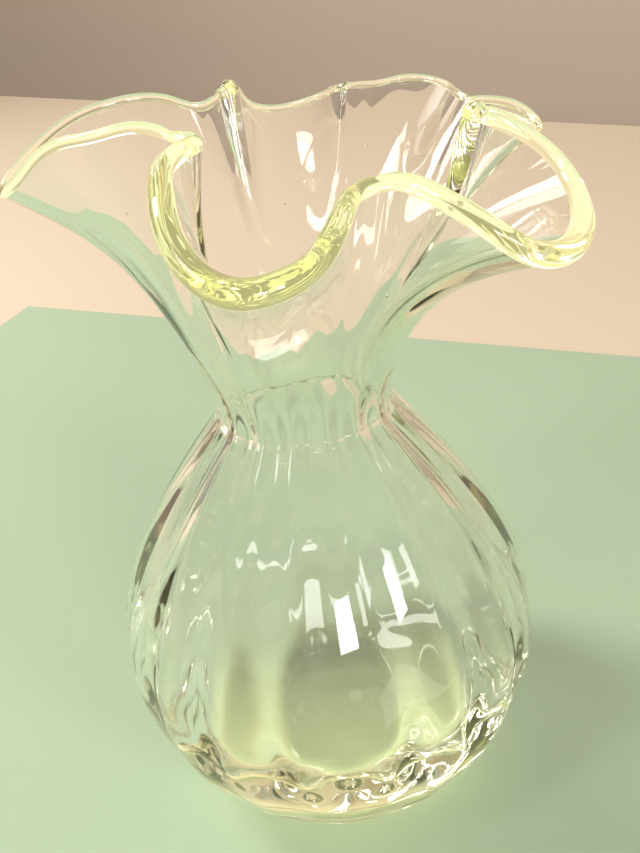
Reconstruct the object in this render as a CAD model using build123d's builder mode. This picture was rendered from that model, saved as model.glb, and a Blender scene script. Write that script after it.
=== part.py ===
"""Free-standing blown-glass vase: ribbed round body, pinched waist and a ruffled flaring mouth.

The origin is the middle of the foot, on the surface that the vase stands on, with +Z up.
Azimuths are degrees in plan, measured from the front (-Y) towards the right (+X).
"""

import os
from math import atan2, cos, degrees, hypot, radians, sin, sqrt

from build123d import *

FULL_TURN = 360.0
DOWNWARDS = 270.0  # angle of the downward direction in a radial plane

# Body, millimetres
body_radius = 50.0  # outside of the round body at its widest ring
foot_radius = 27.0  # outer edge of the flat ring of glass that rests on the table
floor_thickness = 8.5  # heavy glass under the inner floor
body_wall = 3.4  # glass at the widest ring
shoulder_angle = 21.0  # how far above the widest ring the round body turns into the shoulder
shoulder_pull = 16.0  # how far the shoulder keeps the slope of the round body
base_split_height = 17.0  # top of the heavy base

# Optic ribs, pressed by the dip mould and left on the inside of the body
rib_count = 16
rib_width_angle = 9.0
rib_height = 1.1
rib_root = 1.6  # how deep each rib is rooted in the wall
rib_start_angle = 25.0  # where each rib begins on the round inner floor, from its middle

# Waist
waist_radius = 18.7
waist_height = 102.0
waist_wall = 3.5
neck_height = 8.0  # length of the neck below the waist
neck_drop = Vector(5.6, -5.2)  # step from the waist back down the outside of the neck
inner_drop = 1.5  # the same step inside, as a multiple of the outside one
inner_shoulder_pull = 24.0  # how far the inside of the body keeps upright above its widest ring

# Flared wall and the fire-polished bead along its edge
rim_wall = 2.2
bead_radius = 1.75
bead_swell = 0.3  # share by which the bead is thicker at the front and thinner at the back
waist_pull = 16.0  # how far the flared wall rises upright before it opens
rim_pull = 22.0  # how far from the edge the flared wall runs straight
rim_turn = 1.55  # slope of the edge, as a multiple of the slope of the whole wall
fold_calm = 0.7  # how closely the wall below the edge follows the average edge; 1 keeps no folds
skew_limit = 1.8  # most that a slice is widened where the edge runs slantwise through it
rim_slices = 96  # radial slices that shape the ruffle

# Ruffled edge as azimuth, radius, height above the waist: six petals with a pinch between each two
ruffle = [
    (-39, 22, 62),  # pinch, front left
    (-33, 32, 62),
    (-26, 41, 60),
    (-21, 47, 56),
    (-15, 51, 51.5),
    (-8, 53, 49.5),  # front petal
    (0, 51, 50),
    (6, 46, 51),
    (12, 42, 55),
    (20, 37, 57),  # pinch, front right
    (27, 39, 57.5),
    (33, 45, 55),
    (37, 51, 51),
    (42, 55, 46.5),
    (52, 57, 44),  # right petal
    (63, 56, 45.5),
    (73, 52.5, 49.5),
    (79, 46, 55),
    (84, 37, 59),  # pinch, right
    (95, 45, 55.5),
    (103, 54, 52),  # small petal, back right
    (110, 53, 54.5),
    (118, 48, 55.5),  # pinch, back right
    (137, 57, 55.5),  # back petal, right half
    (147, 58, 56),
    (152, 52, 56),
    (156, 43, 57.5),  # pinch, back
    (168, 53, 53),
    (179, 57, 50.5),  # back petal, left half
    (187, 49, 54.5),
    (195, 36, 60),  # pinch, back left
    (201, 43, 56),
    (208, 49, 58),
    (219, 54, 59),
    (235, 57, 56.5),
    (257, 57, 50),  # left petal
    (265, 50, 54),
    (281, 39, 62.5),
    (290, 33, 64),
    (297, 27.5, 65),
    (304, 23, 63.5),
    (311, 20.5, 61.5),
]


def polar_point(azimuth, radius, lift):
    """Point in space from its azimuth, its distance from the axis and its height above the waist."""
    angle = radians(azimuth)
    return Vector(radius * sin(angle), -radius * cos(angle), waist_height + lift)


def radial_plane(point):
    """Upright plane through the axis and a point: local X runs outwards and local Y runs up."""
    outwards = Vector(point.X, point.Y, 0).normalized()
    return Plane(origin=(0, 0, 0), x_dir=outwards, z_dir=outwards.cross(Vector(0, 0, 1)))


def in_slice(point):
    """The same point as distance from the axis and height."""
    return Vector(hypot(point.X, point.Y), point.Z)


def run_in(edge):
    """Where the wall leaves for an edge at this distance and height, if it followed no other edge."""
    slope = rim_turn * atan2(edge.X - waist_radius, edge.Y - waist_height)
    return edge - Vector(sin(slope), cos(slope)) * rim_pull


def edge_corners(station):
    """Outer and inner corner of the flared wall at one station of the edge, and its direction."""
    point, widening = station
    middle = in_slice(point)
    leave = run_in(middle) * (1 - fold_calm) + run_in(average_edge) * fold_calm
    direction = (middle - leave).normalized()
    half_wall = Vector(direction.Y, -direction.X) * (widening * rim_wall / 2)
    return middle + half_wall, middle - half_wall, direction


def wall_slice(station):
    """Radial slice through the flared wall, from the waist to one station of the edge."""
    outer_edge, inner_edge, direction = edge_corners(station)
    upright = Vector(0, waist_pull)
    run_out = direction * rim_pull
    with BuildSketch(radial_plane(station[0])) as slice_sketch:
        with BuildLine():
            Bezier(waist_outside, waist_outside + upright, outer_edge - run_out, outer_edge)
            Line(outer_edge, inner_edge)
            Bezier(inner_edge, inner_edge - run_out, waist_inside + upright, waist_inside)
            Line(waist_inside, waist_outside)
        make_face()
    return slice_sketch.sketch


def bead_slice(station):
    """Radial slice through the round bead, which sits on the end of the flared wall."""
    outer_edge, inner_edge, direction = edge_corners(station)
    middle = (outer_edge + inner_edge) * 0.5
    point, widening = station
    frontness = -point.Y / in_slice(point).X
    radius = bead_radius * (1 + bead_swell * frontness)
    reach = sqrt(radius**2 - (rim_wall / 2) ** 2) + radius
    with BuildSketch(radial_plane(point)) as slice_sketch:
        with BuildLine():
            ThreePointArc(outer_edge, middle + direction * reach, inner_edge)
            Line(inner_edge, outer_edge)
        make_face()
    return slice_sketch.sketch


# Heights and corners that follow from the driving sizes
widest_height = sqrt(body_radius**2 - foot_radius**2)
shoulder_lift = radians(shoulder_angle)
shoulder = Vector(body_radius * cos(shoulder_lift), widest_height + body_radius * sin(shoulder_lift))
shoulder_slope = Vector(-sin(shoulder_lift), cos(shoulder_lift))
waist_outside = Vector(waist_radius, waist_height)
waist_inside = Vector(waist_radius - waist_wall, waist_height)
cavity_radius = body_radius - body_wall
cavity_depth = widest_height - floor_thickness
cavity_widest = Vector(cavity_radius, widest_height)
neck_split_height = waist_height - neck_height
foot_angle = -degrees(atan2(widest_height, foot_radius))
rib_top = (waist_inside + waist_outside) * 0.5 + neck_drop * 0.5  # halfway through the wall


def cavity_line(inset, start_angle, top):
    """Inside line of the body, from part-way up the floor to the waist, moved inwards by an inset."""
    widest = cavity_widest - Vector(inset, 0)
    EllipticalCenterArc(
        (0, widest_height), widest.X, cavity_depth - inset, start_angle, arc_size=FULL_TURN - start_angle
    )
    Bezier(
        widest,
        widest + Vector(0, inner_shoulder_pull),
        top + neck_drop * inner_drop,
        top,
    )


def rib_foot(inset):
    """Lower end of a rib line that is moved inwards by an inset."""
    angle = radians(DOWNWARDS + rib_start_angle)
    return ((cavity_radius - inset) * cos(angle), widest_height + (cavity_depth - inset) * sin(angle))


# One shell of revolution from the foot to the waist; base, body and neck are cut from it
with BuildPart() as plain_shell:
    with BuildSketch(Plane.XZ):
        with BuildLine():
            Line((0, 0), (foot_radius, 0))
            CenterArc((0, widest_height), body_radius, foot_angle, shoulder_angle - foot_angle)
            Bezier(
                shoulder,
                shoulder + shoulder_slope * shoulder_pull,
                waist_outside + neck_drop,
                waist_outside,
            )
            Line(waist_outside, waist_inside)
            cavity_line(0, DOWNWARDS, waist_inside)
            Line((0, floor_thickness), (0, 0))
        make_face()
    revolve(axis=Axis.Z)

# One optic rib: a strip that follows the inside of the body and sinks into the wall at the neck
with BuildPart() as rib:
    with BuildSketch(Plane.XZ.rotated((0, 0, -rib_width_angle / 2))):
        with BuildLine() as rib_outline:
            cavity_line(rib_height, DOWNWARDS + rib_start_angle, rib_top)
            cavity_line(-rib_root, DOWNWARDS + rib_start_angle, rib_top)
            Line(rib_foot(rib_height), rib_foot(-rib_root))
        make_face()
    revolve(axis=Axis.Z, revolution_arc=rib_width_angle)

with BuildPart() as shell:
    add(plain_shell.part)
    with PolarLocations(0, rib_count):
        add(rib.part)


def shell_between(low, high):
    """The part of the shell that lies between two heights."""
    with BuildPart() as zone:
        add(shell.part)
        if low > 0:
            split(bisect_by=Plane.XY.offset(low), keep=Keep.TOP)
        if high < waist_height:
            split(bisect_by=Plane.XY.offset(high), keep=Keep.BOTTOM)
    return zone.part


# Ruffled edge: one closed smooth curve
with BuildLine() as edge_line:
    Spline([polar_point(*knot) for knot in ruffle], periodic=True)


def edge_station(position):
    """A point of the edge, and how much wider a radial slice is there than a square cut."""
    point = edge_line.line @ position
    squareness = abs((edge_line.line % position).dot(radial_plane(point).z_dir))
    return point, min(skew_limit, 1 / max(squareness, 1 / skew_limit))


stations = [edge_station(index / rim_slices) for index in range(rim_slices)]
average_edge = sum((in_slice(point) for point, widening in stations), Vector()) * (1 / rim_slices)


def slice_ring(make_slice):
    """Closed ring through a slice at every station, joined from a right half and a left half."""
    slices = [make_slice(station) for station in stations]
    middle = rim_slices // 2
    with BuildPart() as ring:
        loft(sections=slices[: middle + 1])
        loft(sections=slices[middle:] + slices[:1])
    return ring.part


# Heavy base, ground flat underneath
with BuildPart() as base:
    add(shell_between(0, base_split_height))
base.part.label = "heavy_base"

# Ribbed round body and its shoulder
with BuildPart() as body:
    add(shell_between(base_split_height, neck_split_height))
body.part.label = "ribbed_body"

# Pinched neck, up to the waist
with BuildPart() as neck:
    add(shell_between(neck_split_height, waist_height))
neck.part.label = "neck"

# Flared and ruffled wall
with BuildPart() as flare:
    add(slice_ring(wall_slice))
flare.part.label = "ruffled_flare"

# Fire-polished bead along the edge
with BuildPart() as bead:
    add(slice_ring(bead_slice))
bead.part.label = "rim_bead"

os.makedirs("parts", exist_ok=True)
for piece in (base, body, neck, flare, bead):
    export_step(piece.part, f"parts/{piece.part.label}.step")
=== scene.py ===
"""Ruffled uranium glass vase: five zones of blown glass in one frame, metres, +Z up.

Azimuths are in plan, from the front (-Y) towards the right (+X), as in the CAD model.
"""

import math

import bmesh
import bpy
import numpy as np
from mathutils import Matrix, Vector


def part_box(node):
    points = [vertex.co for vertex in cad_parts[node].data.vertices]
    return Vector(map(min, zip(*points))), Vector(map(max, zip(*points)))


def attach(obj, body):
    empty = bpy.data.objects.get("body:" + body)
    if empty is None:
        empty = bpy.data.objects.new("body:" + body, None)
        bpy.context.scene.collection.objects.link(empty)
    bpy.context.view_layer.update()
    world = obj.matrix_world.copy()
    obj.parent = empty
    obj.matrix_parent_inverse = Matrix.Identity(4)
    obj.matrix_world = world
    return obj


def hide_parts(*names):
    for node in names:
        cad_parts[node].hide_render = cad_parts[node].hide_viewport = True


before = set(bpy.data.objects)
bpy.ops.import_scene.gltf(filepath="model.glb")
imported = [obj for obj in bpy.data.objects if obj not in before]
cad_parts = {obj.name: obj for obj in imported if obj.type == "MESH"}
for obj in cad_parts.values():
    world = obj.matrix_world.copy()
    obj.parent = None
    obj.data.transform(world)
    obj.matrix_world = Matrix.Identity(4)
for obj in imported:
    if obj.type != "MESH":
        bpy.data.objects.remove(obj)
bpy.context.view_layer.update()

MM = 0.001
TURN = 2 * math.pi

# ---------------------------------------------------------------- sizes read from the frame


def ring_radii(node, height, reach=0.3 * MM):
    """Smallest and largest distance from the axis of a CAD node's corners near one height."""
    corners = np.array([v.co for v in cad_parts[node].data.vertices])
    level = corners[abs(corners[:, 2] - height) < reach]
    radii = np.hypot(level[:, 0], level[:, 1])
    return radii.min(), radii.max()


body_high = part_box("ribbed_body")[1]

base_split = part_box("heavy_base")[1].z
neck_split = body_high.z
waist_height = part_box("neck")[1].z
body_radius = body_high.x
foot_radius = ring_radii("heavy_base", 0.0)[1]
waist_inner, waist_radius = ring_radii("neck", waist_height)
widest_height = math.sqrt(body_radius**2 - foot_radius**2)

# ---------------------------------------------------------------- shape values of the glass

floor_thickness = 8.5 * MM
body_wall = 3.4 * MM
foot_round = 2.0 * MM
shoulder_angle = math.radians(21.0)
shoulder_pull = 16.0 * MM
neck_drop = np.array([5.6, -5.2]) * MM
inner_drop = 1.5
inner_shoulder_pull = 24.0 * MM
waist_round = 2.4 * MM  # softens the turn between the shoulder and the flare

rib_count = 16
inner_rib = 0.9 * MM
cell_depth = 0.22 * MM  # oval cells between the ribs, low in the body
cell_pitch = 13.0 * MM
outer_rib = 0.45 * MM
neck_rib = 0.55  # the ribs keep this share of their height at the waist
wobble_depth = 0.16 * MM  # unevenness of the hand-blown wall

waist_pull = 16.0 * MM
rim_pull = 22.0 * MM
rim_turn = 1.55
fold_calm = 0.7
calm_spread = 26.0  # degrees of the edge that the lower wall averages on each side

# Ruffled edge as azimuth, radius, height above the waist in millimetres, the same as in the CAD model
ruffle = [
    (-39, 22, 62), (-33, 32, 62), (-26, 41, 60), (-21, 47, 56), (-15, 51, 51.5), (-8, 53, 49.5),
    (0, 51, 50), (6, 46, 51), (12, 42, 55), (20, 37, 57), (27, 39, 57.5), (33, 45, 55),
    (37, 51, 51), (42, 55, 46.5), (52, 57, 44), (63, 56, 45.5), (73, 52.5, 49.5), (79, 46, 55),
    (84, 37, 59), (95, 45, 55.5), (103, 54, 52), (110, 53, 54.5), (118, 48, 55.5), (137, 57, 55.5),
    (147, 58, 56), (152, 52, 56), (156, 43, 57.5), (168, 53, 53), (179, 57, 50.5), (187, 49, 54.5),
    (195, 36, 60), (201, 43, 56), (208, 49, 58), (219, 54, 59), (235, 57, 56.5), (257, 57, 50),
    (265, 50, 54), (281, 39, 62.5), (290, 33, 64), (297, 27.5, 65), (304, 23, 63.5), (311, 20.5, 61.5),
]
# Where the wall is folded inwards, as azimuth and how much extra glass the fold holds
pinches = ((-39, 1.0), (20, 0.4), (84, 1.0), (118, 0.2), (156, 0.3), (195, 1.0))

# Bead thickness round the edge as azimuth, radius in millimetres: heavy where a petal droops
bead_sizes = [
    (-39, 1.5), (-26, 2.1), (-8, 2.5), (12, 1.9), (22, 1.3), (36, 1.9), (52, 2.4), (70, 2.0), (84, 1.5),
    (103, 1.15), (137, 1.1), (179, 1.1), (195, 1.4), (219, 1.15), (257, 1.3), (281, 1.15), (304, 1.2),
]
# Air bubbles caught in the flare as row, column, radius in millimetres
flare_seeds = [
    (36, 60, 0.3), (30, 190, 0.35), (38, 330, 0.3), (33, 420, 0.25), (35, 520, 0.3), (28, 610, 0.3),
    (37, 700, 0.25), (31, 790, 0.35), (34, 860, 0.3),
]
wall_share = 0.72  # the wall at the edge is this much as thick as the bead
fold_reach = 3.2 * MM  # how far a fold's extra glass spreads along the edge
fold_inside = 0.7 * MM
fold_outside = 1.5 * MM
pinch_search = 9  # degrees on each side in which a pinch's innermost point is looked for
wall_thinning = 1.3  # power by which the flared wall thins from the waist to the edge
least_roll = 1.08  # the bead is at least this much wider than the wall it sits on

BODY_COLUMNS = 512
BODY_ROWS = 84
NECK_ROWS = 20
FLARE_COLUMNS = 960
FLARE_ROWS = 46
BEAD_ROWS = 22
CURVE_POINTS = 200  # along each long arc and each span of the edge
SHOULDER_POINTS = 120
EDGE_SMOOTHING = 20  # columns of the edge on each side that a value is averaged over
AXIS_GAP = 0.4 * MM  # the rings of the foot and the floor start this far from the axis
SEAM_GAP = 0.004 * MM  # the zones stand this far apart, so that no two faces lie in one place
GLASS_IOR = 1.5
PAINTED_GLOW_COLOUR = (0.86, 0.80, 0.36)  # painted glow colour: uranium glass does glow faintly yellow-green in daylight, but this glow also stands in for light gathered through the thick glass

# ---------------------------------------------------------------- curves


def bezier(a, b, c, d, count):
    """Points along a cubic Bezier curve."""
    t = np.linspace(0, 1, count)[:, None]
    return (1 - t) ** 3 * a + 3 * (1 - t) ** 2 * t * b + 3 * (1 - t) * t**2 * c + t**3 * d


def arc(centre, radii, start, end, count):
    """Points along an arc of an ellipse, angles in radians from the outward direction."""
    t = np.linspace(start, end, count)
    return np.stack([centre[0] + radii[0] * np.cos(t), centre[1] + radii[1] * np.sin(t)], 1)


def evenly(points, count):
    """The same open line as count points, evenly spaced along it."""
    steps = np.r_[0, np.cumsum(np.linalg.norm(np.diff(points, axis=0), axis=1))]
    at = np.linspace(0, steps[-1], count)
    return np.stack([np.interp(at, steps, points[:, k]) for k in range(points.shape[1])], 1)


def closed_spline(knots, count):
    """A smooth closed curve through the knots, as count points evenly spaced along it."""
    n = len(knots)
    spans = np.linalg.norm(np.roll(knots, -1, 0) - knots, axis=1)
    before = np.roll(spans, 1)
    slopes = (np.roll(knots, -1, 0) - knots) / spans[:, None]
    system = np.zeros((n, n))
    for i in range(n):
        system[i, (i - 1) % n] += spans[i]
        system[i, i] += 2 * (spans[i] + before[i])
        system[i, (i + 1) % n] += before[i]
    right = 3 * (spans[:, None] * np.roll(slopes, 1, 0) + before[:, None] * slopes)
    tangents = np.linalg.solve(system, right)
    spans_drawn = []
    for i in range(n):
        a, b = knots[i], knots[(i + 1) % n]
        reach = spans[i] / 3
        span = bezier(a, a + tangents[i] * reach, b - tangents[(i + 1) % n] * reach, b, CURVE_POINTS)
        spans_drawn.append(span[:-1])
    line = np.vstack([*spans_drawn, knots[:1]])
    return evenly(line, count + 1)[:-1]


# ---------------------------------------------------------------- meshes


def build(name, rows, seam_rows, closed_tube, seeds=()):
    """A closed mesh from rows of points that run round the vase.

    Rows are rings of the same length. Faces that start at a row in seam_rows are where two zones
    of the same glass meet. A closed tube joins its last row to its first; otherwise both end
    rows close on a single point of the axis.
    """
    rows = np.asarray(rows)
    count_rows, count_columns = rows.shape[:2]
    column = np.arange(count_columns)
    after = (column + 1) % count_columns
    faces = []
    seams = []
    last = count_rows if closed_tube else count_rows - 1
    for r in range(last):
        low = r * count_columns
        high = ((r + 1) % count_rows) * count_columns
        faces.append(np.stack([low + column, low + after, high + after, high + column], 1))
        seams.append(np.full(count_columns, r in seam_rows))
    points = rows.reshape(-1, 3)
    faces = [tuple(f) for f in np.vstack(faces).tolist()]
    seams = np.concatenate(seams).tolist()
    vertices = [tuple(p) for p in points.tolist()]
    if not closed_tube:
        for ring, flip in ((0, True), (count_rows - 1, False)):
            pole = len(vertices)
            vertices.append((0.0, 0.0, float(rows[ring, 0, 2])))
            for c in range(count_columns):
                a, b = ring * count_columns + c, ring * count_columns + (c + 1) % count_columns
                faces.append((b, a, pole) if flip else (a, b, pole))
                seams.append(False)
    for centre, radius in seeds:
        ball = bmesh.new()
        bmesh.ops.create_icosphere(ball, subdivisions=2, radius=radius, matrix=Matrix.Translation(centre))
        first = len(vertices)
        ball.verts.ensure_lookup_table()
        vertices += [tuple(v.co) for v in ball.verts]
        faces += [tuple(first + v.index for v in reversed(f.verts)) for f in ball.faces]
        seams += [False] * len(ball.faces)
        ball.free()
    mesh = bpy.data.meshes.new(name)
    mesh.from_pydata(vertices, [], faces)
    mesh.polygons.foreach_set("use_smooth", [not s for s in seams])
    ior = mesh.attributes.new("glass_ior", "FLOAT", "FACE")
    ior.data.foreach_set("value", [1.0 if s else GLASS_IOR for s in seams])
    sharpen_seams(mesh, seams)
    mesh.update()
    piece = bpy.data.objects.new(name, mesh)
    bpy.context.scene.collection.objects.link(piece)
    return piece


def sharpen_seams(mesh, seams):
    """Marks the edges round each seam face as sharp, so that shading doesn't bend there."""
    sharp = np.zeros(len(mesh.edges), bool)
    loop_edges = np.zeros(len(mesh.loops), int)
    mesh.loops.foreach_get("edge_index", loop_edges)
    starts = np.zeros(len(mesh.polygons), int)
    totals = np.zeros(len(mesh.polygons), int)
    mesh.polygons.foreach_get("loop_start", starts)
    mesh.polygons.foreach_get("loop_total", totals)
    for index in np.flatnonzero(seams):
        sharp[loop_edges[starts[index]:starts[index] + totals[index]]] = True
    attribute = mesh.attributes.new("sharp_edge", "BOOLEAN", "EDGE")
    attribute.data.foreach_set("value", sharp)


# ---------------------------------------------------------------- base, body and neck


def outer_line():
    """Outside of the vase from the middle of the foot to the waist, as radius and height."""
    centre = (0.0, widest_height)
    start = -math.atan2(widest_height, foot_radius)
    across, up = math.cos(shoulder_angle), math.sin(shoulder_angle)
    lift = np.array([body_radius * across, widest_height + body_radius * up])
    slope = np.array([-up, across])
    waist = np.array([waist_radius, waist_height])
    turn = start + 2 * foot_round / body_radius
    rise = arc(centre, (body_radius, body_radius), turn, shoulder_angle, CURVE_POINTS)
    foot_edge = np.array([foot_radius, 0.0])
    inward = np.array([foot_radius - foot_round, 0.0])
    rounding = bezier(inward, foot_edge, foot_edge, rise[0], 12)
    flat = np.stack([np.linspace(AXIS_GAP, inward[0], 30), np.zeros(30)], 1)
    shoulder = bezier(lift, lift + slope * shoulder_pull, waist + neck_drop, waist, SHOULDER_POINTS)
    return np.vstack([flat[:-1], rounding[:-1], rise[:-1], shoulder])


def inner_line():
    """Inside of the vase from the middle of its floor to the waist, as radius and height."""
    cavity = body_radius - body_wall
    depth = widest_height - floor_thickness
    start = -math.pi / 2 + AXIS_GAP / cavity
    floor = arc((0.0, widest_height), (cavity, depth), start, 0.0, CURVE_POINTS)
    widest = np.array([cavity, widest_height])
    waist = np.array([waist_inner, waist_height])
    upright = widest + (0, inner_shoulder_pull)
    shoulder = bezier(widest, upright, waist + neck_drop * inner_drop, waist, SHOULDER_POINTS)
    return np.vstack([floor[:-1], shoulder])


def between(line, low, high, count):
    """The stretch of a rising line between two heights, as count points."""
    heights = np.maximum.accumulate(line[:, 1] + np.arange(len(line)) * 1e-12)
    ends = [np.interp(z, heights, line[:, 0]) for z in (low, high)]
    inside = line[(heights > low) & (heights < high)]
    return evenly(np.vstack([(ends[0], low), inside, (ends[1], high)]), count)


def smooth_step(x, low, high):
    """0 below low, 1 above high, and a smooth ramp between."""
    t = np.clip((x - low) / (high - low), 0, 1)
    return t * t * (3 - 2 * t)


def waist_fillet(height):
    """How much glass rounds the sharp turn at the waist, at a distance from it."""
    x = np.abs(waist_height - height)
    return (np.sqrt(x * x + waist_round**2) - x) / 2


def rib_wave(azimuth):
    """Rib profile round the vase: 1 on a rib's crest, 0 midway between two ribs."""
    return 0.5 + 0.5 * np.cos(rib_count * azimuth)


def hand_wobble(azimuth, height):
    """Slight unevenness of hand-blown glass, metres."""
    return wobble_depth * (
        np.sin(2 * azimuth + 0.7) * np.sin(height / (11 * MM))
        + 0.6 * np.sin(3 * azimuth - height / (17 * MM) + 2.1)
        + 0.35 * np.sin(7 * azimuth + height / (9 * MM) + 0.4)
    )


def rib_strength(radius, height):
    """How strongly the ribs show: not in the middle of the floor, full on the body, less at the neck."""
    from_floor = smooth_step(radius, 30 * MM, 46 * MM)
    rising = smooth_step(height, widest_height, waist_height)
    body_share = np.where(height > widest_height, 1.0, from_floor)
    return body_share * (1 - (1 - neck_rib) * rising)


def cells(azimuth, radius, height):
    """Oval cells of the optic mould, on the inside of the lower body."""
    low = smooth_step(radius, 28 * MM, 40 * MM) * (1 - smooth_step(height, 30 * MM, 58 * MM))
    return cell_depth * low * np.cos(rib_count * azimuth)[None, :] * np.cos(TURN * height / cell_pitch)


def shell_rows(line, azimuth, inside):
    """Rings of points from a radius and height line, with ribs and wobble."""
    radius, height = line[:, 0][:, None], line[:, 1][:, None]
    wave = rib_wave(azimuth)[None, :]
    strength = rib_strength(radius, height)
    wobble = hand_wobble(azimuth[None, :], height) * smooth_step(radius, 5 * MM, 30 * MM)
    wobble = wobble * smooth_step(height, 1 * MM, 12 * MM) * smooth_step(waist_height - height, 0, 15 * MM)
    if inside:
        push = -inner_rib * wave * strength - 0.6 * wobble + waist_fillet(height)
        push = push + cells(azimuth, radius, height)
    else:
        lifted = smooth_step(height, 0.2 * MM, 6 * MM)
        push = outer_rib * (wave - 1) * strength * lifted + wobble + waist_fillet(height)
    reach = radius + push
    rings = np.empty((len(line), len(azimuth), 3))
    rings[..., 0] = reach * np.sin(azimuth)
    rings[..., 1] = -reach * np.cos(azimuth)
    rings[..., 2] = height
    return rings


body_azimuth = np.arange(BODY_COLUMNS) / BODY_COLUMNS * TURN
outer_profile = outer_line()
inner_profile = inner_line()


def shell_zone(name, low, high, rows):
    """A zone of the shell between two heights: the outside going up, the inside coming down."""
    outside = shell_rows(between(outer_profile, low, high, rows), body_azimuth, False)
    inside = shell_rows(between(inner_profile, low, high, rows), body_azimuth, True)
    grid = np.vstack([outside, inside[::-1]])
    return build(name, grid, {rows - 1, 2 * rows - 1}, True)


def base_zone(rows):
    """The heavy base, closed underneath by the foot and above by the inner floor."""
    outer = outer_profile[outer_profile[:, 1] < base_split]
    top = between(outer_profile, 0.5 * base_split, base_split, 3)[-1:]
    top[:, 1] -= SEAM_GAP
    outside = shell_rows(evenly(np.vstack([outer, top]), rows), body_azimuth, False)
    floor = inner_profile[inner_profile[:, 1] < base_split]
    edge = between(inner_profile, 0.8 * base_split, base_split, 3)[-1:]
    edge[:, 1] -= SEAM_GAP
    inside = shell_rows(evenly(np.vstack([floor, edge]), rows), body_azimuth, True)
    return build("glass_base", np.vstack([outside, inside[::-1]]), {rows - 1}, False)


# ---------------------------------------------------------------- ruffled flare and bead

edge_knots = np.array([
    (radius * math.sin(math.radians(a)), -radius * math.cos(math.radians(a)), waist_height / MM + lift)
    for a, radius, lift in ruffle
]) * MM
edge = closed_spline(edge_knots, FLARE_COLUMNS)
edge_azimuth = np.arctan2(edge[:, 0], -edge[:, 1])
edge_middle = np.stack([np.hypot(edge[:, 0], edge[:, 1]), edge[:, 2]], 1)


def run_in(middle):
    """Where the wall's straight run up to an edge at this radius and height begins."""
    slope = rim_turn * np.arctan2(middle[..., 0] - waist_radius, middle[..., 1] - waist_height)
    return middle - np.stack([np.sin(slope), np.cos(slope)], -1) * rim_pull


def round_the_edge(table):
    """Values given at a few azimuths, smoothly carried round every column of the edge."""
    azimuths, values = np.array(table, float).T
    level = np.interp(np.degrees(edge_azimuth) % 360, azimuths % 360, values, period=360)
    window = np.hanning(2 * EDGE_SMOOTHING + 1)
    padded = np.concatenate([level[-EDGE_SMOOTHING:], level, level[:EDGE_SMOOTHING]])
    return np.convolve(padded, window / window.sum(), "valid")


def fold_weight():
    """1 at each pinch of the edge and fading away along it."""
    step = np.linalg.norm(np.diff(edge, axis=0), axis=1).mean()
    column = np.arange(FLARE_COLUMNS)
    weight = np.zeros(FLARE_COLUMNS)
    for azimuth, share in pinches:
        gap = np.abs((np.degrees(edge_azimuth) - azimuth + 180) % 360 - 180)
        near = np.flatnonzero(gap < pinch_search)
        nose = near[np.argmin(edge_middle[near, 0])]
        away = np.abs((column - nose + FLARE_COLUMNS // 2) % FLARE_COLUMNS - FLARE_COLUMNS // 2) * step
        weight = np.maximum(weight, share * np.exp(-(away / fold_reach) ** 2))
    return weight


bead_radius = round_the_edge(bead_sizes) * MM
folds = fold_weight()


def from_slices(lines, azimuth):
    """Rings of points from one radius and height line for each azimuth."""
    rings = np.empty((lines.shape[1], lines.shape[0], 3))
    rings[..., 0] = (lines[..., 0] * np.sin(azimuth)[:, None]).T
    rings[..., 1] = (-lines[..., 0] * np.cos(azimuth)[:, None]).T
    rings[..., 2] = lines[..., 1].T
    return rings


def unit(vectors):
    """The same vectors, each one long."""
    return vectors / np.linalg.norm(vectors, axis=-1, keepdims=True)


def calm_edge():
    """The edge's radius and height with its folds averaged out, at each column."""
    gap = np.abs((np.degrees(edge_azimuth[:, None] - edge_azimuth[None, :]) + 180) % 360 - 180)
    weight = np.exp(-(gap / calm_spread) ** 2)
    return weight @ edge_middle / weight.sum(1, keepdims=True)


def flare_middle():
    """The surface halfway through the flared wall, with its outward and its upward direction."""
    t = np.linspace(0, 1, FLARE_ROWS)[None, :, None]
    waist = np.array([(waist_radius + waist_inner) / 2, waist_height + SEAM_GAP])
    upright = waist + (0, waist_pull)
    lines = []
    for rim in (edge_middle, calm_edge()):
        leave = run_in(rim) * (1 - fold_calm) + run_in(edge_middle.mean(0)) * fold_calm
        run_out = rim - unit(rim - leave) * rim_pull
        lines.append(
            (1 - t) ** 3 * waist
            + 3 * (1 - t) ** 2 * t * upright
            + 3 * (1 - t) * t**2 * run_out[:, None]
            + t**3 * rim[:, None]
        )
    folded = smooth_step(t, 0.3, 1.0)
    lines = lines[0] * folded + lines[1] * (1 - folded)
    middle = from_slices(lines, edge_azimuth)
    around = np.roll(middle, -1, 1) - np.roll(middle, 1, 1)
    rising = np.gradient(middle, axis=0)
    outward = unit(np.cross(around, rising))
    upward = unit(rising)
    return middle, outward, upward


middle_surface, wall_outward, wall_upward = flare_middle()
wall_rise = np.linspace(0, 1, FLARE_ROWS)[:, None]


def flare_side(side):
    """One face of the flared wall, from the waist to the edge: side 1 is outside, -1 inside."""
    at_waist = (waist_radius - waist_inner) / 2
    half = at_waist + (wall_share * bead_radius - at_waist) * wall_rise**wall_thinning
    fold = fold_outside if side > 0 else fold_inside
    half = half + fold * folds * smooth_step(wall_rise, 0.45, 0.95)
    fade = (1 - smooth_step(wall_rise, 0.0, 0.3)) * neck_rib
    wave = rib_wave(edge_azimuth)[None, :]
    if side > 0:
        half = half + outer_rib * (wave - 1) * fade + waist_fillet(middle_surface[..., 2])
    else:
        half = half + inner_rib * wave * fade - waist_fillet(middle_surface[..., 2])
    return middle_surface + side * half[..., None] * wall_outward


flare_outside, flare_inside = flare_side(1), flare_side(-1)


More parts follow.
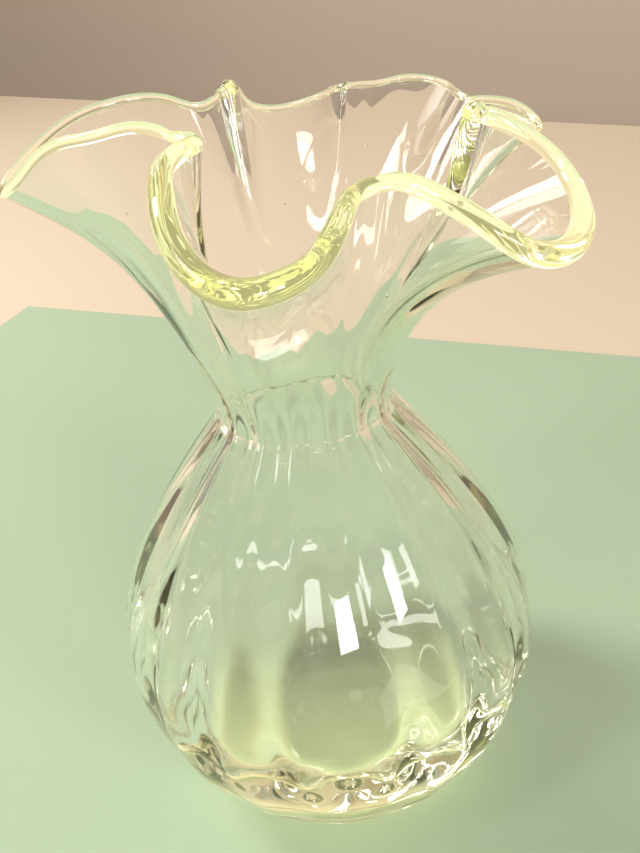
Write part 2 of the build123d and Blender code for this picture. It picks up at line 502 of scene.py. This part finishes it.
def flare_zone():
    """The ruffled flare with its air bubbles, open at the waist and at the edge."""
    grid = np.vstack([flare_outside, flare_inside[::-1]])
    bubbles = [(tuple(middle_surface[r, c]), size * MM) for r, c, size in flare_seeds]
    return build("glass_flare", grid, {FLARE_ROWS - 1, 2 * FLARE_ROWS - 1}, True, bubbles)


def bead_zone():
    """The fire-polished bead: a round roll that starts and ends at the corners of the wall."""
    outer, inner = flare_outside[-1], flare_inside[-1]
    upward = wall_upward[-1]
    across = outer - inner
    half = np.linalg.norm(across, axis=1) / 2
    side = unit(across)
    roll = np.maximum(bead_radius, least_roll * half)
    reach = np.sqrt(roll**2 - half**2)
    centre = (outer + inner) / 2 + upward * (reach + SEAM_GAP)[:, None]
    opening = np.arctan2(half, -reach)
    rows = []
    for share in np.linspace(1, -1, BEAD_ROWS):
        angle = (opening * share)[:, None]
        rows.append(centre + roll[:, None] * (np.cos(angle) * upward + np.sin(angle) * side))
    return build("glass_rim_bead", np.array(rows), {BEAD_ROWS - 1}, True)


# ---------------------------------------------------------------- glass

# Where the painted glow gathers, as measure, start, end and the least share: brightest low in the outer ring
# of the base and at the front of the base and the bead, as painted light
BASE_PAINTED_GLOW = (
    ("radius", 20 * MM, 33 * MM, 0.28),
    ("Z", 17 * MM, 4 * MM, 0.0),
    ("Y", 20 * MM, -20 * MM, 0.14),
)
RIM_PAINTED_GLOW = (("Y", 30 * MM, -25 * MM, 0.3),)


def painted_glow_share(tree, measure, start, end, least):
    """A share of the painted glow that goes from least to 1 along X, Y, Z or the distance from the axis."""
    place = tree.nodes.new("ShaderNodeTexCoord")
    rise = tree.nodes.new("ShaderNodeMapRange")
    rise.inputs["From Min"].default_value = start
    rise.inputs["From Max"].default_value = end
    rise.inputs["To Min"].default_value = least
    if measure == "radius":
        flat = tree.nodes.new("ShaderNodeVectorMath")
        flat.operation = "MULTIPLY"
        flat.inputs[1].default_value = (1, 1, 0)
        reach = tree.nodes.new("ShaderNodeVectorMath")
        reach.operation = "LENGTH"
        tree.links.new(place.outputs["Object"], flat.inputs[0])
        tree.links.new(flat.outputs["Vector"], reach.inputs[0])
        tree.links.new(reach.outputs["Value"], rise.inputs["Value"])
    else:
        split = tree.nodes.new("ShaderNodeSeparateXYZ")
        tree.links.new(place.outputs["Object"], split.inputs["Vector"])
        tree.links.new(split.outputs[measure], rise.inputs["Value"])
    return rise.outputs["Result"]


def shape_painted_glow(tree, shader, painted_glow_level, shares):
    """Makes the painted glow the product of its strength and each of its shares."""
    strength = None
    for share in shares:
        times = tree.nodes.new("ShaderNodeMath")
        times.operation = "MULTIPLY"
        times.inputs[1].default_value = painted_glow_level
        tree.links.new(painted_glow_share(tree, *share), times.inputs[0])
        if strength:
            tree.links.new(strength, times.inputs[1])
        strength = times.outputs["Value"]
    tree.links.new(strength, shader.inputs["Emission Strength"])


def noise(tree, scale, detail):
    """Noise fixed to the piece, as an output that other nodes can take."""
    place = tree.nodes.new("ShaderNodeTexCoord")
    pattern = tree.nodes.new("ShaderNodeTexNoise")
    pattern.inputs["Scale"].default_value = scale
    pattern.inputs["Detail"].default_value = detail
    tree.links.new(place.outputs["Object"], pattern.inputs["Vector"])
    return pattern.outputs["Fac"]


def polish_unevenly(tree, shader):
    """Fire-polished glass with a few faintly duller patches."""
    polish = tree.nodes.new("ShaderNodeMapRange")
    polish.inputs["From Min"].default_value = 0.55
    polish.inputs["From Max"].default_value = 0.8
    polish.inputs["To Min"].default_value = 0.01
    polish.inputs["To Max"].default_value = 0.08
    tree.links.new(noise(tree, 90.0, 3.0), polish.inputs["Value"])
    tree.links.new(polish.outputs["Result"], shader.inputs["Roughness"])


def ripple_surface(tree, shader, ripple):
    """Gentle waves in the surface."""
    bump = tree.nodes.new("ShaderNodeBump")
    bump.inputs["Strength"].default_value = ripple
    bump.inputs["Distance"].default_value = 0.4 * MM
    tree.links.new(noise(tree, 70.0, 1.0), bump.inputs["Height"])
    tree.links.new(bump.outputs["Normal"], shader.inputs["Normal"])


def glass(name, colour, density, painted_glow_level, ripple=0.25, shares=()):
    """Clear uranium glass: gently rippled, tinted by its thickness, with a painted glow: uranium glass does
    glow faintly, but the glow also stands in for light gathered in the glass.
    """
    material = bpy.data.materials.new(name)
    material.use_nodes = True
    tree = material.node_tree
    shader = tree.nodes["Principled BSDF"]
    shader.inputs["Base Color"].default_value = (1, 1, 1, 1)
    shader.inputs["Transmission Weight"].default_value = 1.0
    shader.inputs["IOR"].default_value = GLASS_IOR
    # Painted glow: emission that lights the glass as if it were a lamp, standing in for light gathered
    # through it.
    shader.inputs["Emission Color"].default_value = (*PAINTED_GLOW_COLOUR, 1)
    shader.inputs["Emission Strength"].default_value = painted_glow_level
    if shares:
        shape_painted_glow(tree, shader, painted_glow_level, shares)
    ior = tree.nodes.new("ShaderNodeAttribute")
    ior.attribute_name = "glass_ior"
    tree.links.new(ior.outputs["Fac"], shader.inputs["IOR"])
    polish_unevenly(tree, shader)
    ripple_surface(tree, shader, ripple)
    depth = tree.nodes.new("ShaderNodeVolumeAbsorption")
    depth.inputs["Color"].default_value = (*colour, 1)
    depth.inputs["Density"].default_value = density
    tree.links.new(depth.outputs["Volume"], tree.nodes["Material Output"].inputs["Volume"])
    return material


def plain(name, colour, roughness):
    """Matt surface for the setting."""
    material = bpy.data.materials.new(name)
    material.use_nodes = True
    shader = material.node_tree.nodes["Principled BSDF"]
    shader.inputs["Roughness"].default_value = roughness
    shader.inputs["Base Color"].default_value = (*colour, 1)
    return material


# ---------------------------------------------------------------- the five pieces

# The glow strengths are painted light: 0.50 in the base and 0.26 in the bead stand in for light gathered
# through the thick glass and lift the shade seen through it, and 0.003 faintly lifts the body, neck and
# flare.
pieces = {
    "heavy_base": (
        base_zone(BODY_ROWS),
        "base_glass",
        glass("base_glass_look", (0.95, 0.96, 0.6), 5.0, 0.50, 0.15, BASE_PAINTED_GLOW),
    ),
    "ribbed_body": (
        shell_zone("glass_body", base_split + SEAM_GAP, neck_split - SEAM_GAP, BODY_ROWS),
        "body_glass",
        glass("body_glass_look", (0.93, 0.97, 0.6), 6.0, 0.003),
    ),
    "neck": (
        shell_zone("glass_neck", neck_split + SEAM_GAP, waist_height - SEAM_GAP, NECK_ROWS),
        "neck_glass",
        glass("neck_glass_look", (0.93, 0.97, 0.6), 9.0, 0.003),
    ),
    "ruffled_flare": (flare_zone(), "flare_glass", glass("flare_glass_look", (0.92, 0.96, 0.5), 12.0, 0.003)),
    "rim_bead": (
        bead_zone(),
        "rim_glass",
        glass("rim_glass_look", (0.91, 0.92, 0.45), 28.0, 0.26, 0.08, RIM_PAINTED_GLOW),
    ),
}
for node, (piece, slot, material) in pieces.items():
    piece.data.materials.append(material)
    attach(piece, "root")
    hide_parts(node)

# ---------------------------------------------------------------- floor, light and camera


def stage_sheet(name, corners, material):
    """A flat sheet of the setting through four corners, metres."""
    mesh = bpy.data.meshes.new(name)
    mesh.from_pydata(corners, [], [(0, 1, 2, 3)])
    mesh.materials.append(material)
    item = bpy.data.objects.new(name, mesh)
    bpy.context.scene.collection.objects.link(item)


CLOTH = -0.2 * MM  # the cloth lies this far under the foot
TABLE = -1.5 * MM
stage_sheet(
    "cloth",
    [(-0.5, -0.43, CLOTH), (0.6, -0.6, CLOTH), (0.6, -0.021, CLOTH), (-0.15, 0.328, CLOTH)],
    plain("cloth_look", (0.53, 0.67, 0.46), 0.9),
)
stage_sheet(
    "table",
    [(-2, -2, TABLE), (2, -2, TABLE), (2, -0.64, TABLE), (-2, 2.16, TABLE)],
    plain("table_look", (0.92, 0.76, 0.58), 0.8),
)
stage_sheet(
    "wall",
    [(-2, 2.5, -1), (2, -0.3, -1), (2, -0.3, 1.5), (-2, 2.5, 1.5)],
    plain("wall_look", (0.72, 0.57, 0.44), 0.9),
)

world = bpy.data.worlds.new("soft_room")
bpy.context.scene.world = world
world.use_nodes = True
world.node_tree.nodes["Background"].inputs["Color"].default_value = (1.0, 0.95, 0.88, 1)
world.node_tree.nodes["Background"].inputs["Strength"].default_value = 0.32


def area_light(name, azimuth, elevation, distance, size, power, colour=(1, 1, 1)):
    """A soft rectangular light that looks at the middle of the vase from one direction."""
    a, e = math.radians(azimuth), math.radians(elevation)
    target = Vector((0, 0, 80 * MM))
    towards = Vector((math.sin(a) * math.cos(e), -math.cos(a) * math.cos(e), math.sin(e)))
    data = bpy.data.lights.new(name, "AREA")
    data.shape = "RECTANGLE"
    data.size, data.size_y = size
    data.energy = power
    data.color = colour
    lamp = bpy.data.objects.new(name, data)
    lamp.location = target + towards * distance
    lamp.rotation_mode = "QUATERNION"
    lamp.rotation_quaternion = towards.to_track_quat("Z", "Y")
    bpy.context.scene.collection.objects.link(lamp)


area_light("key_window", -113, 46, 1.0, (0.27, 0.46), 5.8, (1.0, 0.98, 0.94))
area_light("side_window", -57, 47, 0.9, (0.12, 0.3), 1.1)
area_light("front_pane_left", 14, 15, 0.9, (0.19, 0.18), 2.3)
area_light("front_pane_right", 39, 17, 0.9, (0.19, 0.18), 2.3)
area_light("back_window", 200, 30, 1.0, (0.4, 0.4), 0.9, (1.0, 0.97, 0.92))

camera_data = bpy.data.cameras.new("camera")
camera_data.sensor_width = 36.0
camera_data.lens = 40.1
camera_data.clip_start = 0.005
camera = bpy.data.objects.new("camera", camera_data)
camera.location = (0.0, -181.9 * MM, 205.8 * MM)
yaw, pitch, roll = math.radians(-0.87), math.radians(31.09), math.radians(-6.1)
camera.matrix_world = (
    Matrix.Translation(camera.location)
    @ Matrix.Rotation(yaw, 4, "Z")
    @ Matrix.Rotation(math.pi / 2 - pitch, 4, "X")
    @ Matrix.Rotation(roll, 4, "Z")
)
bpy.context.scene.collection.objects.link(camera)
bpy.context.scene.camera = camera

cycles = bpy.context.scene.cycles
cycles.use_denoising = True
cycles.max_bounces = 32
cycles.transmission_bounces = 32
cycles.glossy_bounces = 12
cycles.volume_bounces = 0
bpy.context.scene.view_settings.view_transform = "Standard"
